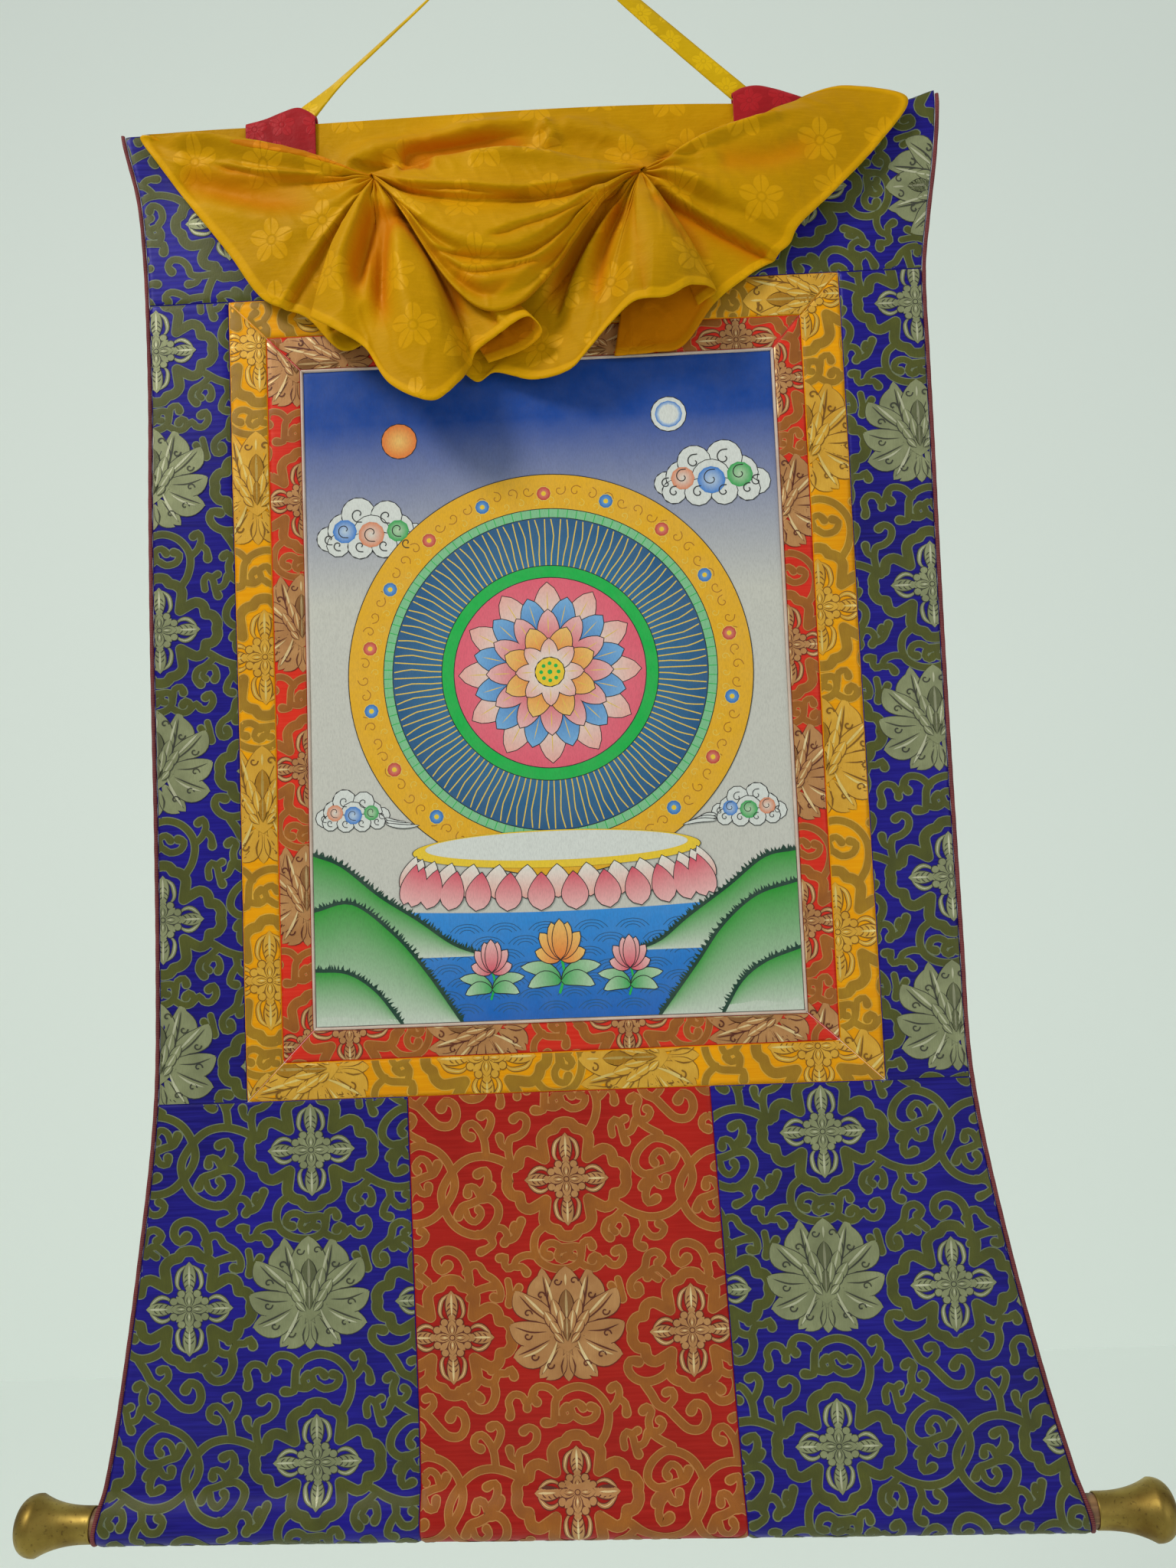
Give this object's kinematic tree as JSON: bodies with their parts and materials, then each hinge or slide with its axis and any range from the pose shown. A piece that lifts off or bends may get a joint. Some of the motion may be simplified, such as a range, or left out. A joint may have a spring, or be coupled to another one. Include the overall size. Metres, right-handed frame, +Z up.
{
  "type": "thangka scroll painting with brass-tipped wooden rod",
  "caption": "Painted canvas in silk brocade borders on a hanging scroll, with a gathered silk veil, a hanging ribbon and a rod sewn in its foot.",
  "frame": {"origin": "underside of the hanging ribbon's loop, where it rests on a hook", "axes": "+Z up, the painted face looks along -Y, +X to the viewer's right"},
  "size_m": [0.7096, 0.0618, 1.0687],
  "materials": {
    "blue_brocade": "deep blue satin brocade with olive-gold and silver-gold woven scrollwork",
    "red_brocade": "crimson satin brocade with tan-gold woven scrollwork",
    "gold_brocade": "orange-gold satin brocade with olive woven scrollwork",
    "border_red_brocade": "bright red satin brocade with tan woven scrollwork",
    "trim_cord": "fine pale cord edging",
    "painted_canvas": null,
    "edge_binding": "thin dusty-red bias binding",
    "rod_wood": "plain turned wood",
    "aged_brass": "spun brass, lightly tarnished",
    "ribbon_silk": "yellow silk ribbon, doubled",
    "tab_damask": "crimson damask",
    "veil_silk": "thin golden-yellow silk damask"
  },
  "bodies": {
    "root": {"heading_panel": "blue_brocade", "side_panel_left": "blue_brocade", "side_panel_right": "blue_brocade", "lower_panel_left": "blue_brocade", "lower_panel_middle": "red_brocade", "lower_panel_right": "blue_brocade", "gold_border_top": "gold_brocade", "gold_border_right": "gold_brocade", "gold_border_foot": "gold_brocade", "gold_border_left": "gold_brocade", "red_border_top": "border_red_brocade", "red_border_right": "border_red_brocade", "red_border_foot": "border_red_brocade", "red_border_left": "border_red_brocade", "canvas_trim_top": "trim_cord", "canvas_trim_right": "trim_cord", "canvas_trim_foot": "trim_cord", "canvas_trim_left": "trim_cord", "painting_canvas": "painted_canvas", "edge_binding_left": "edge_binding", "edge_binding_right": "edge_binding", "weight_rod": "rod_wood", "brass_knob_left": "aged_brass", "brass_knob_right": "aged_brass", "hanging_ribbon": "ribbon_silk", "hanging_tab_left": "tab_damask", "hanging_tab_right": "tab_damask", "veil": "veil_silk"}
  },
  "joints": []
}
